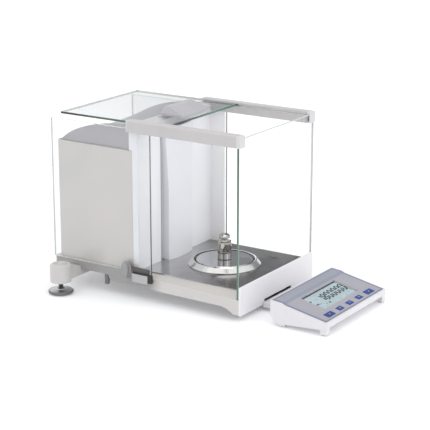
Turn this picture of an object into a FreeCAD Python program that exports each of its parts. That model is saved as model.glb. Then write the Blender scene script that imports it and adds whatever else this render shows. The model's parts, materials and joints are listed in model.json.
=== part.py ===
import FreeCAD, Part
import math
import os

# Analytical balance: a glass draught shield on a cast base, an electronics housing behind it
# and a console on a bracket in front. Millimetres. +Z is up, +Y points to the rear.
# Y is measured here from the outer face of the front panel and X from the plane of symmetry.
# place() moves every piece so that the origin is below the middle of the whole object, on the table.

V = FreeCAD.Vector

# ---- overall ----
BODY_HALF = 110.0          # half width of the base and the front panel
BASE_REAR = 356.0
BASE_TOP = 44.2
BASE_WALL = 3.2
CONSOLE_FRONT = -140.0
MID_Y = (CONSOLE_FRONT + BASE_REAR) / 2
GAP = 0.3                  # running gap between pieces that move past each other

# ---- front panel and front glass ----
PANEL_LOW, PANEL_TOP = 8.0, 53.4
PANEL_THICK = 2.9
GLASS_THICK = 3.5
FRONT_GLASS_Y = 3.2
FRONT_GLASS_LOW, FRONT_GLASS_TOP = 34.0, 280.0
FRONT_GLASS_HALF = 109.8
CHAMBER_FRONT = FRONT_GLASS_Y + GLASS_THICK + GAP

# ---- rails that carry the sliding glass ----
RAIL_OUTER, RAIL_INNER = 111.5, 95.0
RAIL_LOW, RAIL_TOP = 267.1, 284.8
RAIL_FRONT, RAIL_REAR = 1.4, 206.8
CAP_THICK = 1.7
RAIL_ROUND = 2.0

# ---- sliding doors, drawn open ----
SIDE_GLASS_OUT = 109.6
SIDE_GLASS_LOW, SIDE_GLASS_TOP = 44.6, 272.7
SIDE_GLASS_FRONT, SIDE_GLASS_REAR = 164.2, 355.0
TOP_GLASS_HALF = 102.0
TOP_GLASS_LOW = 279.0
TOP_GLASS_FRONT, TOP_GLASS_REAR = 139.4, 340.3
HANDLE_Y, HANDLE_Z = 209.5, 47.2

# ---- rear wall of the chamber ----
WALL_Y = 191.0
WALL_REAR = 201.0
WALL_EDGE = 43.0
WALL_RETURN = 164.6        # front edge of the fixed return on the right-hand side
POST_HALF = 104.0
SKIN = 2.5
COLUMN_HALF_LOW, COLUMN_HALF_TOP = 32.5, 38.0
COLUMN_FRONT = 178.5
COLUMN_CORNER = 184.0
BEAM_LOW, BEAM_TOP = 262.0, 278.3

# ---- rear housing ----
HOUSING_HALF = 104.1
HOUSING_FRONT, HOUSING_REAR = 201.3, 350.0
HOUSING_TOP = 236.7
HOUSING_CORNER = 8.0
COVER_HALF = 100.6
COVER_FRONT, COVER_REAR = 207.2, 344.0
COVER_RISE = 41.3
COVER_SAG = 0.34           # share of the rise that is lost in the middle of the cover

# ---- floor, pan, ring and weight ----
FLOOR_HALF = 97.5
FLOOR_FRONT, FLOOR_REAR = 12.2, 190.6
FLOOR_TOP = 46.0
FLOOR_THICK = 1.6
PAN_Y = 99.0
PAN_TOP = 54.3
PAN_R = 45.0
RING_R = 58.0
RING_HOLE_R = 48.6
WEIGHT_R = 11.0
WEIGHT_HEIGHT = 40.0

# ---- feet ----
FOOT_X, FOOT_Y = 150.0, 311.0
FOOT_HOUSING_R = 16.75
FOOT_HOUSING_LOW, FOOT_HOUSING_TOP = 19.8, 48.8
FOOT_DISC_R = 20.0
FOOT_STEM_R = 4.0
PAD_THICK = 1.5
FRONT_FOOT_X, FRONT_FOOT_Y = 56.0, 34.0

# ---- console ----
CONSOLE_HALF = 95.0
CONSOLE_REAR = -42.0
CONSOLE_LOW = 4.0            # underside at the rear; it climbs by CONSOLE_CLIMB towards the user
CONSOLE_CLIMB = 5.5
CONSOLE_WALL = 2.2
CONSOLE_TOP = [V(0, CONSOLE_REAR, 38.9), V(0, -62.0, 36.9), V(0, -67.5, 34.4), V(0, CONSOLE_FRONT, 20.2)]
FACET_START = CONSOLE_TOP[2]
FACET_END = CONSOLE_TOP[3]
FACET_DIR = (FACET_END - FACET_START).normalize()
FACET_UP = V(0, FACET_DIR.z, -FACET_DIR.y)
SHEET = 0.5                # thickness of the printed sheet on the console
WINDOW_HALF = 52.0
WINDOW_START, WINDOW_END = 2.5, 46.0      # along the sloping facet
KEY_ROW = 60.0                            # along the sloping facet
KEYS = {
    "key_power": (-63.0, 21.0, 10.5),
    "key_mode": (-31.0, 14.0, 9.0),
    "key_calibrate": (-1.0, 14.0, 9.0),
    "key_print": (29.0, 14.0, 9.0),
    "key_tare": (61.0, 21.0, 10.5),
}
BRACKET_HALF = 46.0
TONGUE_HALF = 38.0
TONGUE_LOW, TONGUE_TOP = 9.0, 12.0
SLOT_HALF, SLOT_TOP = 40.0, 16.6          # slot in the front panel that the tongue leaves by


# ---- helpers ----
def place(shape):
    moved = shape.copy()
    moved.translate(V(0, -MID_Y, 0))
    return moved


def save(node, *shapes):
    solids = [place(shape) for shape in shapes]
    result = solids[0] if len(solids) == 1 else Part.makeCompound(solids)
    result.exportStep("parts/" + node + ".step")


def box(x0, x1, y0, y1, z0, z1):
    return Part.makeBox(x1 - x0, y1 - y0, z1 - z0, V(x0, y0, z0))


def wide_box(half, y0, y1, z0, z1):
    return box(-half, half, y0, y1, z0, z1)


def upright(x, y, z0, z1, r):
    return Part.makeCylinder(r, z1 - z0, V(x, y, z0))


def mirrored(shape):
    return shape.mirror(V(0, 0, 0), V(1, 0, 0))


def prism(points, way):
    outline = Part.makePolygon(points + [points[0]])
    return Part.Face(outline).extrude(way)


def prism_yz(pairs, x0, x1):
    return prism([V(x0, y, z) for y, z in pairs], V(x1 - x0, 0, 0))


def prism_xz(pairs, y0, y1):
    return prism([V(x, y0, z) for x, z in pairs], V(0, y1 - y0, 0))


def prism_xy(pairs, z0, z1):
    return prism([V(x, y, z0) for x, y in pairs], V(0, 0, z1 - z0))


def turned(pairs, x, y):
    """A solid of revolution about the upright axis through x, y; pairs are radius and height."""
    outline = Part.makePolygon([V(r, 0, z) for r, z in pairs + [pairs[0]]])
    solid = Part.Face(outline).revolve(V(0, 0, 0), V(0, 0, 1), 360)
    solid.translate(V(x, y, 0))
    return solid


def edges_along(shape, way, test):
    """Straight edges that run along way and whose middle passes test."""
    found = []
    for edge in shape.Edges:
        if edge.Curve.TypeId != "Part::GeomLine":
            continue
        run = edge.Vertexes[1].Point - edge.Vertexes[0].Point
        middle = edge.CenterOfMass
        if run.cross(way).Length < 1e-6 * max(run.Length, 1.0) and test(middle):
            found.append(edge)
    return found


def rounded(shape, radius, way, test):
    return shape.makeFillet(radius, edges_along(shape, way, test))


ALONG_X, ALONG_Y, UP = V(1, 0, 0), V(0, 1, 0), V(0, 0, 1)


# ---- base ----
def base_side_outline(inset):
    front = FRONT_GLASS_Y - 0.2 + inset
    step = CHAMBER_FRONT + inset
    roof = BASE_TOP - inset
    outline = [(front, 9.5), (13 - inset, 10.0), (22, 15.6), (33, 19.0), (243, 21.6), (247, 31.0),
               (BASE_REAR - inset, 31.0), (BASE_REAR - inset, roof), (step, roof)]
    if inset:
        outline = [(y, z if z == roof else z - 2 * inset) for y, z in outline]
        return outline + [(step, 9.5 - 2 * inset)]
    return outline + [(step, FRONT_GLASS_LOW - 0.4), (front, FRONT_GLASS_LOW - 0.4)]


def ledge_cut():
    """Wedge that slopes the side of the base down and out, more at the front than at the rear."""
    inner, outer, above = FLOOR_HALF + 0.3, BODY_HALF + 1, BASE_TOP + 1

    def section(y, low):
        corners = [V(inner, y, above), V(outer, y, above), V(outer, y, low), V(inner, y, BASE_TOP)]
        return Part.makePolygon(corners + [corners[0]])

    return Part.makeLoft([section(-1, 33.0), section(HOUSING_FRONT, 40.0)], True, True)


def base_casting():
    body = prism_yz(base_side_outline(0), -BODY_HALF, BODY_HALF)
    body = rounded(body, 8, UP, lambda p: p.y > BASE_REAR - 1)
    hollow_half = BODY_HALF - BASE_WALL
    body = body.cut(prism_yz(base_side_outline(BASE_WALL), -hollow_half, hollow_half))
    wedge = ledge_cut()
    inside = box(FLOOR_HALF - 3, hollow_half, CHAMBER_FRONT + BASE_WALL, 205, 36.0, BASE_TOP)
    skin = inside.cut(box(FLOOR_HALF - 4, hollow_half - 1, 0, 204, 35.0, 36.9))
    body = body.fuse([skin, mirrored(skin)]).cut([wedge, mirrored(wedge)])
    bosses = [upright(s * FRONT_FOOT_X, FRONT_FOOT_Y, PANEL_LOW, BASE_TOP - 1, 10.5) for s in (-1, 1)]
    bosses += [upright(s * 25, 24, TONGUE_TOP, BASE_TOP - 1, 5) for s in (-1, 1)]
    body = body.fuse(bosses).removeSplitter()
    holes = [
        upright(0, PAN_Y, 0, 60, 13),
        wide_box(14, 216, 236, 0, 60),
        wide_box(SLOT_HALF, -1, 12, 0, SLOT_TOP),
    ]
    holes += [upright(s * 25, 24, 0, 30, 1.6) for s in (-1, 1)]
    return body.cut(holes)


def foot_housing():
    """Right-hand levelling foot housing with the arm that carries it under the base."""
    arm = prism_xz([(84, 21), (FOOT_X, 21), (FOOT_X, 43), (138, 43), (126, 38), (110.4, 36.5),
                    (110.4, 31), (84, 31)], FOOT_Y - 10, FOOT_Y + 10)
    cylinder = upright(FOOT_X, FOOT_Y, FOOT_HOUSING_LOW, FOOT_HOUSING_TOP, FOOT_HOUSING_R)
    cylinder = cylinder.makeFillet(3.5, [e for e in cylinder.Edges if e.CenterOfMass.z > 45
                                         and e.Curve.TypeId == "Part::GeomCircle"])
    housing = cylinder.fuse(arm)
    recess = upright(FOOT_X, FOOT_Y, FOOT_HOUSING_TOP - 2.6, FOOT_HOUSING_TOP + 1, 10.0)
    bore = upright(FOOT_X, FOOT_Y, 0, 60, FOOT_STEM_R + GAP)
    return housing.cut([recess, bore])


def level_boss(housing):
    """The right-hand housing also holds the spirit level."""
    boss = upright(121.5, FOOT_Y, 21, 42.5, 9.5)
    pocket = upright(121.5, FOOT_Y, 34.5, 43, 7.2)
    return housing.fuse(boss).cut([pocket, box(100, 110.4, FOOT_Y - 15, FOOT_Y + 15, 31, 50)])


def level_vial():
    return turned([(0, 34.5), (7.0, 34.5), (7.0, 41.4), (6.0, 42.2), (0, 42.8)], 121.5, FOOT_Y)


def front_foot(side):
    top = PANEL_LOW
    return turned([(0, 0), (8.0, 0), (9.0, 1.0), (9.0, top), (0, top)], side * FRONT_FOOT_X, FRONT_FOOT_Y)


def rest_peg(side):
    return turned([(0, 13.5), (3.2, 13.5), (4.0, 14.5), (4.0, 31.0), (0, 31.0)], side * 104.5, 253.0)


# ---- front ----
def front_panel():
    panel = wide_box(BODY_HALF, 0, PANEL_THICK, PANEL_LOW, PANEL_TOP)
    panel = rounded(panel, 2.5, ALONG_Y, lambda p: True)
    front_rim = [e for e in panel.Edges if abs(e.CenterOfMass.y) < 1e-6]
    panel = panel.makeFillet(1.0, front_rim)
    return panel.cut(wide_box(SLOT_HALF, -1, 4, 0, SLOT_TOP))


def front_glass():
    return wide_box(FRONT_GLASS_HALF, FRONT_GLASS_Y, FRONT_GLASS_Y + GLASS_THICK,
                    FRONT_GLASS_LOW, FRONT_GLASS_TOP)


# ---- rails and the beam between them ----
def rail():
    slot_in = SIDE_GLASS_OUT - GLASS_THICK - GAP
    slot_out = SIDE_GLASS_OUT + GAP
    slot_top = SIDE_GLASS_TOP + 0.5
    groove_in = TOP_GLASS_HALF + 0.4
    groove_low, groove_top = TOP_GLASS_LOW - GAP, TOP_GLASS_LOW + GLASS_THICK + GAP
    section = [(RAIL_INNER, RAIL_LOW), (slot_in, RAIL_LOW), (slot_in, slot_top), (slot_out, slot_top),
               (slot_out, RAIL_LOW), (RAIL_OUTER, RAIL_LOW), (RAIL_OUTER, RAIL_TOP),
               (RAIL_INNER, RAIL_TOP), (RAIL_INNER, groove_top), (groove_in, groove_top),
               (groove_in, groove_low), (RAIL_INNER, groove_low)]
    bar = prism_xz(section, CHAMBER_FRONT, RAIL_REAR - CAP_THICK)
    bar = rounded(bar, RAIL_ROUND, ALONG_Y, lambda p: p.z > RAIL_TOP - 0.1 and p.x > RAIL_OUTER - 0.1)
    core = box(97.2, 103.6, CHAMBER_FRONT - 1, RAIL_REAR, 269.2, 276.6)
    return bar.cut(core)


def rail_cap(y0, y1):
    cap = box(RAIL_INNER, RAIL_OUTER, y0, y1, RAIL_LOW, RAIL_TOP)
    cap = rounded(cap, RAIL_ROUND, ALONG_Y, lambda p: p.z > RAIL_TOP - 0.1)
    return cap


def front_cap():
    cap = rail_cap(RAIL_FRONT, CHAMBER_FRONT)
    cap = rounded(cap, 1.2, UP, lambda p: p.y < RAIL_FRONT + 0.1)
    slot = box(RAIL_INNER - 1, FRONT_GLASS_HALF + 0.1, FRONT_GLASS_Y, CHAMBER_FRONT + 1,
               RAIL_LOW - 1, FRONT_GLASS_TOP + 0.2)
    return cap.cut(slot)


def rear_cap():
    cap = rail_cap(RAIL_REAR - CAP_THICK, RAIL_REAR)
    side_way = box(SIDE_GLASS_OUT - GLASS_THICK - GAP, SIDE_GLASS_OUT + GAP, 200, 210,
                   RAIL_LOW - 1, SIDE_GLASS_TOP + 0.5)
    top_way = box(RAIL_INNER - 1, TOP_GLASS_HALF + 0.4, 200, 210,
                  TOP_GLASS_LOW - GAP, TOP_GLASS_LOW + GLASS_THICK + GAP)
    return cap.cut([side_way, top_way])


def cross_beam():
    beam = prism_yz([(187, BEAM_LOW), (205, BEAM_LOW), (205, BEAM_TOP), (190, BEAM_TOP),
                     (187, BEAM_TOP - 3)], -RAIL_INNER, RAIL_INNER)
    return beam.cut(wide_box(40, 194, 199, BEAM_TOP - 2, BEAM_TOP + 1))


# ---- rear wall of the chamber ----
def side_return():
    """Fixed return that fills the corner between the rear wall and the open right-hand door."""
    wing = box(POST_HALF - SKIN, POST_HALF, WALL_RETURN, WALL_Y + 0.5, BASE_TOP + 0.4, RAIL_LOW)
    return rounded(wing, 0.8, UP, lambda p: p.y < WALL_RETURN + 0.1)


def post_panel():
    """Right-hand half of the rear wall: a folded panel whose outer fold is the corner post."""
    fold = [(WALL_EDGE, WALL_Y), (POST_HALF, WALL_Y), (POST_HALF, WALL_REAR),
            (POST_HALF - SKIN, WALL_REAR), (POST_HALF - SKIN, WALL_Y + SKIN),
            (WALL_EDGE + SKIN, WALL_Y + SKIN), (WALL_EDGE + SKIN, 199), (WALL_EDGE, 199)]
    panel = prism_xy(fold, BASE_TOP, BEAM_LOW)
    panel = rounded(panel, 1.2, UP, lambda p: p.x > POST_HALF - 0.1 and p.y < WALL_Y + 0.1)
    head = box(RAIL_INNER + GAP, POST_HALF, WALL_Y, WALL_REAR, BEAM_LOW, RAIL_LOW)
    ear = box(POST_HALF - SKIN, POST_HALF, WALL_REAR, RAIL_REAR, HOUSING_TOP + 0.5, RAIL_LOW)
    return panel.fuse([head, ear]).removeSplitter()


def column_plan(half, front, corner, rear):
    left, right = V(-half, corner, 0), V(half, corner, 0)
    arc = Part.Arc(left, V(0, front, 0), right).toShape()
    back = Part.makePolygon([right, V(half, rear, 0), V(-half, rear, 0), left])
    return Part.Face(Part.Wire([arc] + back.Edges))


def column_outline(low_half, top_half):
    return prism_xz([(-low_half, 0), (low_half, 0), (low_half, 160), (top_half, 250), (top_half, 300),
                     (-top_half, 300), (-top_half, 250), (-low_half, 160)], 150, 210)


def column_cover():
    """Bowed cover that widens a little towards its top."""
    tall = V(0, 0, BEAM_LOW - FLOOR_TOP)
    outer = column_plan(COLUMN_HALF_TOP, COLUMN_FRONT, COLUMN_CORNER, 198).extrude(tall)
    inner = column_plan(COLUMN_HALF_TOP, COLUMN_FRONT + SKIN, COLUMN_CORNER + SKIN, 199).extrude(tall)
    for solid in (outer, inner):
        solid.translate(V(0, 0, FLOOR_TOP))
    outer = outer.common(column_outline(COLUMN_HALF_LOW, COLUMN_HALF_TOP))
    inner = inner.common(column_outline(COLUMN_HALF_LOW - SKIN, COLUMN_HALF_TOP - SKIN))
    return outer.cut(inner)


def column_liner():
    return wide_box(WALL_EDGE + 12, 199, WALL_REAR, BASE_TOP, BEAM_LOW)


# ---- floor of the chamber ----
def floor_plate():
    plate = wide_box(FLOOR_HALF, FLOOR_FRONT, FLOOR_REAR, FLOOR_TOP - FLOOR_THICK, FLOOR_TOP)
    plate = rounded(plate, 1.5, UP, lambda p: p.y < FLOOR_FRONT + 1)
    return plate.cut(upright(0, PAN_Y, 40, 50, 14))


# ---- rear housing ----
def side_panel():
    half, rear, r = HOUSING_HALF, HOUSING_REAR, HOUSING_CORNER
    outer = box(60, half, HOUSING_FRONT, rear, BASE_TOP + 0.2, HOUSING_TOP)
    outer = rounded(outer, r, UP, lambda p: p.x > half - 1 and p.y > rear - 1)
    top_rim = [e for e in outer.Edges if e.CenterOfMass.z > HOUSING_TOP - 0.1
               and (e.CenterOfMass.x > half - 4 and e.CenterOfMass.y > HOUSING_FRONT + 1)
               or e.Curve.TypeId == "Part::GeomCircle" and e.CenterOfMass.z > HOUSING_TOP - 0.1]
    outer = outer.makeFillet(1.4, top_rim)
    inner = box(50, half - SKIN, HOUSING_FRONT - 1, rear - SKIN, 0, 300)
    inner = rounded(inner, r - SKIN, UP, lambda p: p.x > half - SKIN - 1 and p.y > rear - SKIN - 1)
    trim = box(50, 92, HOUSING_FRONT - 1, rear + 1, 0, 300)
    return outer.cut([inner, trim])


def vent_slots():
    rows = []
    for row in range(9):
        z = 178 + 5.5 * row
        rows += [box(x, x + 34, HOUSING_REAR - 5, HOUSING_REAR + 1, z, z + 2.4) for x in (-66, -17, 32)]
    return rows


SCREW_SPOTS = [(x, z) for x in (-84, 84) for z in (56, 226)]
INLET_X, PORT_X, CONNECTOR_Z = -45.0, 20.0, 75.0


def rear_panel():
    panel = wide_box(91.7, HOUSING_REAR - SKIN, HOUSING_REAR, BASE_TOP + 0.2, HOUSING_TOP - 0.5)
    inlet = Part.makeCylinder(5.7, 10, V(INLET_X, HOUSING_REAR - 6, CONNECTOR_Z), ALONG_Y)
    port = box(PORT_X - 9.6, PORT_X + 9.6, HOUSING_REAR - 6, HOUSING_REAR + 1,
               CONNECTOR_Z - 5.6, CONNECTOR_Z + 5.6)
    screws = [Part.makeCylinder(1.6, 10, V(x, HOUSING_REAR - 6, z), ALONG_Y) for x, z in SCREW_SPOTS]
    return panel.cut(vent_slots() + [inlet, port] + screws)


def cover_section(x, share, low, front, rear, drop):
    """Upright outline of the top cover at x; share scales how far it rises above the side panels."""
    foot = HOUSING_TOP - 1.5 + drop
    run = rear - front
    rise = COVER_RISE * share
    points = []
    for step in range(7):
        t = step / 6
        points.append(V(x, rear - run * t, foot + rise * math.sin(t ** 0.72 * math.pi / 2)))
    curve = Part.BSplineCurve()
    curve.interpolate(points)
    sides = Part.makePolygon([points[-1], V(x, front, low), V(x, rear, low), points[0]])
    return Part.Wire([curve.toShape()] + sides.Edges)


def cover_block(half, low, front, rear, drop):
    sections = []
    for share_x in (-1, -0.5, 0, 0.5, 1):
        share = 1 - COVER_SAG * (1 - share_x ** 2)
        sections.append(cover_section(half * share_x, share, low, front, rear, drop))
    return Part.makeLoft(sections, True, False)


def top_cover():
    outer = cover_block(COVER_HALF, HOUSING_TOP - 6, COVER_FRONT, COVER_REAR, 0)
    inner = cover_block(COVER_HALF - SKIN, HOUSING_TOP - 8, COVER_FRONT + SKIN, COVER_REAR - SKIN, -SKIN)
    return outer.cut(inner)


def power_inlet():
    y0 = HOUSING_REAR - 14
    body = Part.makeCylinder(5.4, 15, V(INLET_X, y0, CONNECTOR_Z), ALONG_Y)
    rim = Part.makeCylinder(7.2, 1.2, V(INLET_X, HOUSING_REAR, CONNECTOR_Z), ALONG_Y)
    socket = Part.makeCylinder(3.2, 11, V(INLET_X, HOUSING_REAR - 9, CONNECTOR_Z), ALONG_Y)
    pin = Part.makeCylinder(1.05, 10, V(INLET_X, HOUSING_REAR - 10, CONNECTOR_Z), ALONG_Y)
    return body.fuse(rim).cut(socket).fuse(pin).removeSplitter()


def d_outline(half_wide, half_narrow, half_high, y0, y1):
    z = CONNECTOR_Z
    return prism_xz([(PORT_X - half_wide, z + half_high), (PORT_X + half_wide, z + half_high),
                     (PORT_X + half_narrow, z - half_high), (PORT_X - half_narrow, z - half_high)], y0, y1)


def data_port():
    flange = box(PORT_X - 15.4, PORT_X + 15.4, HOUSING_REAR, HOUSING_REAR + 1.2,
                 CONNECTOR_Z - 6.2, CONNECTOR_Z + 6.2)
    shell = d_outline(8.3, 7.3, 4.0, HOUSING_REAR - 10, HOUSING_REAR + 5.0)
    hollow = d_outline(7.7, 6.7, 3.4, HOUSING_REAR - 1, HOUSING_REAR + 6)
    return flange.fuse(shell).cut(hollow)


def panel_screw(x, z):
    head = Part.makeCylinder(3.0, 1.8, V(x, HOUSING_REAR, z), ALONG_Y)
    shank = Part.makeCylinder(1.5, 7.8, V(x, HOUSING_REAR - 6, z), ALONG_Y)
    return head.fuse(shank).cut(box(x - 4, x + 4, HOUSING_REAR + 1.0, HOUSING_REAR + 2, z - 0.4, z + 0.4))


def bracket_screw(x):
    head = upright(x, 24, TONGUE_LOW - 2.0, TONGUE_LOW, 3.0)
    return head.fuse(upright(x, 24, TONGUE_LOW, 24, 1.5))


# ---- weighing mechanism inside ----
def pan_carrier():
    post = turned([(0, 24), (6, 24), (6, 40), (4, 42), (4, 46.5), (3, 49.5), (0, 49.5)], 0, PAN_Y)
    arm = wide_box(7, PAN_Y, 232, 24.5, 33)
    riser = wide_box(9, 222, 232, 24.5, 92)
    return post.fuse([arm, riser]).removeSplitter()


def weigh_cell():
    block = wide_box(26, 232, 300, 44.4, 118)
    slots = [wide_box(27, 238, 282, z, z + 2) for z in (62, 104)]
    window = [wide_box(27, 246, 276, 70, 98)]
    holes = [Part.makeCylinder(2.5, 60, V(-30, y, z), ALONG_X) for y in (238, 282) for z in (63, 105)]
    return block.cut(slots + window + holes)


def magnet_pot():
    pot = turned([(0, 44.4), (17, 44.4), (17, 82), (0, 82)], 0, 320)
    return pot.cut(turned([(9, 60), (13, 60), (13, 83), (9, 83)], 0, 320))


def force_lever():
    bar = wide_box(4, 300, 322, 86, 94)
    coil = turned([(9.8, 64), (12.2, 64), (12.2, 86), (9.8, 86)], 0, 320)
    disc = turned([(0, 85), (12.2, 85), (12.2, 87), (0, 87)], 0, 320)
    return bar.fuse([coil, disc]).removeSplitter()


def main_board():
    board = wide_box(78, 339, 340.6, 92, 168)
    chips = [box(x, x + w, 336, 339, z, z + h) for x, z, w, h in
             ((-60, 100, 30, 24), (-16, 108, 26, 26), (24, 98, 34, 18), (22, 130, 16, 22))]
    return board.fuse(chips).removeSplitter()


# ---- sliding doors ----
def side_glass():
    return box(SIDE_GLASS_OUT - GLASS_THICK, SIDE_GLASS_OUT, SIDE_GLASS_FRONT, SIDE_GLASS_REAR,
               SIDE_GLASS_LOW, SIDE_GLASS_TOP)


def door_carriage():
    """Bar that hangs outside the base and is bonded to the outer face of the glass."""
    bar = box(BODY_HALF + 0.4, 115.6, 166.8, 196.2, 29.5, 43.6)
    bar = rounded(bar, 1.2, ALONG_Y, lambda p: p.x > 115)
    plate = box(SIDE_GLASS_OUT, 112.2, 166.8, 217.5, 45.0, 53.0)
    link = box(BODY_HALF + 0.4, 112.2, 166.8, 217.5, 39.0, 46.0)
    return bar.fuse([plate, link]).removeSplitter()


def ellipse_plate(x0, x1, y, half_y, half_z):
    middle = V(x0, y, HANDLE_Z)
    shape = Part.Ellipse(middle, half_z, half_y).toShape()
    shape.rotate(middle, ALONG_Y, 90)
    return Part.Face(Part.Wire([shape])).extrude(V(x1 - x0, 0, 0))


def door_handle():
    flange = ellipse_plate(112.2, 114.2, HANDLE_Y - 3.0, 7.4, 11.5)
    grip = ellipse_plate(113.2, 118.6, HANDLE_Y, 6.4, 13.8)
    outer_rim = [e for e in grip.Edges if e.CenterOfMass.x > 118.5]
    return flange.fuse(grip.makeFillet(1.8, outer_rim))


def door_bumper():
    strip = box(112.4, 115.2, 160.0, 196.0, 43.6, 45.4)
    nose = box(BODY_HALF + 0.6, 115.2, 160.0, 166.8, 32.0, 45.4)
    return strip.fuse(nose).removeSplitter()


def top_glass():
    return wide_box(TOP_GLASS_HALF, TOP_GLASS_FRONT, TOP_GLASS_REAR, TOP_GLASS_LOW,
                    TOP_GLASS_LOW + GLASS_THICK)


def top_handle():
    """Wedge with a keeled ramp in front that rises to a narrow top at the rear."""
    low = TOP_GLASS_LOW + GLASS_THICK

    def outline(z, half, front, rear):
        corners = [V(-half, front + 6, z), V(0, front, z), V(half, front + 6, z),
                   V(half, rear, z), V(-half, rear, z)]
        return Part.makePolygon(corners + [corners[0]])

    return Part.makeLoft([outline(low, 38, 146, 194), outline(low + 3, 38, 148, 194),
                          outline(low + 13, 33, 174, 190)], True, True)


# ---- pan, ring and weight ----
def weighing_pan():
    skirt = 2.6
    return turned([(0, PAN_TOP - 1.2), (PAN_R - 2.2, PAN_TOP - 1.2), (PAN_R - 1.0, PAN_TOP - skirt),
                   (PAN_R, PAN_TOP - skirt), (PAN_R, PAN_TOP - 1.0), (PAN_R - 1.2, PAN_TOP),
                   (0, PAN_TOP)], 0, PAN_Y)


def pan_socket():
    return turned([(4.6, 47.4), (6.4, 47.4), (6.4, PAN_TOP - 1.2), (0, PAN_TOP - 1.2), (0, 50.0),
                   (3.6, 50.0)], 0, PAN_Y)


def draft_ring():
    low, hole = FLOOR_TOP + GAP, RING_HOLE_R
    return turned([(RING_R, low), (RING_R, low + 1.2), (hole + 3.2, 54.0), (hole + 1.4, 54.8),
                   (hole, 54.3), (hole, 53.2), (hole + 1.6, 52.8), (RING_R - 1.8, low + 1.0),
                   (RING_R - 1.8, low)], 0, PAN_Y)


def calibration_weight():
    z = PAN_TOP + GAP
    top = z + WEIGHT_HEIGHT
    outline = Part.makePolygon([V(0, 0, z), V(WEIGHT_R - 0.8, 0, z), V(WEIGHT_R, 0, z + 0.8),
                                V(WEIGHT_R, 0, z + 25.5), V(WEIGHT_R - 1.5, 0, z + 27.5),
                                V(6.6, 0, z + 28.6), V(4.8, 0, z + 31.2), V(5.6, 0, z + 33.4),
                                V(8.4, 0, z + 34.4), V(9.2, 0, z + 36.0), V(8.9, 0, z + 38.2),
                                V(6.5, 0, top), V(0, 0, top), V(0, 0, z)])
    solid = Part.Face(outline).revolve(V(0, 0, 0), UP, 360)
    solid.translate(V(0, PAN_Y, 0))
    return solid


# ---- levelling feet ----
def foot_pad(side):
    return turned([(0, 0), (14, 0), (14.6, 0.6), (14.6, PAD_THICK), (0, PAD_THICK)],
                  side * FOOT_X, FOOT_Y)


def foot_screw(side):
    low = PAD_THICK + GAP
    cap = FOOT_HOUSING_TOP - 2.2
    return turned([(0, low), (FOOT_DISC_R - 1, low), (FOOT_DISC_R, low + 1), (FOOT_DISC_R, low + 3.2),
                   (FOOT_DISC_R - 1.2, low + 4.2), (7, low + 5.2), (FOOT_STEM_R, low + 7),
                   (FOOT_STEM_R, cap), (9.4, cap), (9.4, cap + 2.0), (8.4, cap + 3.0), (0, cap + 3.0)],
                  side * FOOT_X, FOOT_Y)


# ---- console ----
def console_block(inset):
    half = CONSOLE_HALF - inset
    rear, front, low = CONSOLE_REAR - inset, CONSOLE_FRONT + inset, CONSOLE_LOW + inset
    lip = low + CONSOLE_CLIMB
    top = [(p.y, p.z - inset * 1.03) for p in CONSOLE_TOP]
    top[0] = (rear, top[0][1])
    top[3] = (front, top[3][1] + 0.2 * inset)
    block = prism_yz([(rear, 18), (rear - 6.5, low + 4), (rear - 14, low), (front + 3, lip),
                      (front, lip + 3)] + top[::-1], -half, half)
    if inset:
        return block
    return rounded(block, 3.0, UP, lambda p: True)


def console_split(above):
    """Block above or below the seam, which runs level with the sloping top."""
    seam = [(CONSOLE_REAR + 5, 22.0), (CONSOLE_FRONT - 5, 12.5)]
    far = 60 if above else -20
    return prism_yz(seam + [(CONSOLE_FRONT - 5, far), (CONSOLE_REAR + 5, far)],
                    -CONSOLE_HALF - 5, CONSOLE_HALF + 5)


def facet_point(x, along, height):
    return FACET_START + FACET_DIR * along + FACET_UP * height + V(x, 0, 0)


def facet_box(x0, x1, s0, s1, h0, h1):
    """Box on the sloping facet: s runs down the slope towards the user and h out of the facet."""
    corners = [facet_point(x, s, h0) for x, s in ((x0, s0), (x1, s0), (x1, s1), (x0, s1))]
    return prism(corners, FACET_UP * (h1 - h0))


def key_box(key, margin, h0, h1):
    x, wide, deep = KEYS[key]
    return facet_box(x - wide / 2 - margin, x + wide / 2 + margin,
                     KEY_ROW - deep / 2 - margin, KEY_ROW + deep / 2 + margin, h0, h1)


def window_box(margin, h0, h1):
    return facet_box(-WINDOW_HALF - margin, WINDOW_HALF + margin, WINDOW_START - margin,
                     WINDOW_END + margin, h0, h1)


def key_holes():
    return [key_box(key, 0.35, -4, 3) for key in KEYS]


def console_shell():
    return console_block(0).cut(console_block(CONSOLE_WALL))


def console_bezel():
    bezel = console_shell().common(console_split(True))
    return bezel.cut(key_holes() + [window_box(0.2, -4, 3)])


def console_leg(side, y0, y1, top):
    leg = box(84.5, 94.0, y0, y1, 1.2, top)
    return leg if side > 0 else mirrored(leg)


def console_case():
    case = console_shell().common(console_split(False))
    reach = ((-68, -58, CONSOLE_LOW + 3), (CONSOLE_FRONT + 1, -128, CONSOLE_LOW + CONSOLE_CLIMB + 3))
    legs = [console_leg(side, *span) for side in (-1, 1) for span in reach]
    tongue_way = wide_box(TONGUE_HALF + 0.6, -66, CONSOLE_REAR + 5, TONGUE_LOW - 0.3, TONGUE_TOP + 0.3)
    posts = [upright(s * 25, -66, CONSOLE_LOW + 1, TONGUE_LOW, 5) for s in (-1, 1)]
    return case.fuse(legs + posts).cut(tongue_way).removeSplitter()


def console_pads():
    spots = [(s * 89, y) for s in (-1, 1) for y in (-63, -133.5)]
    return [upright(x, y, 0, 1.2, 3.6) for x, y in spots]


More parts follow.
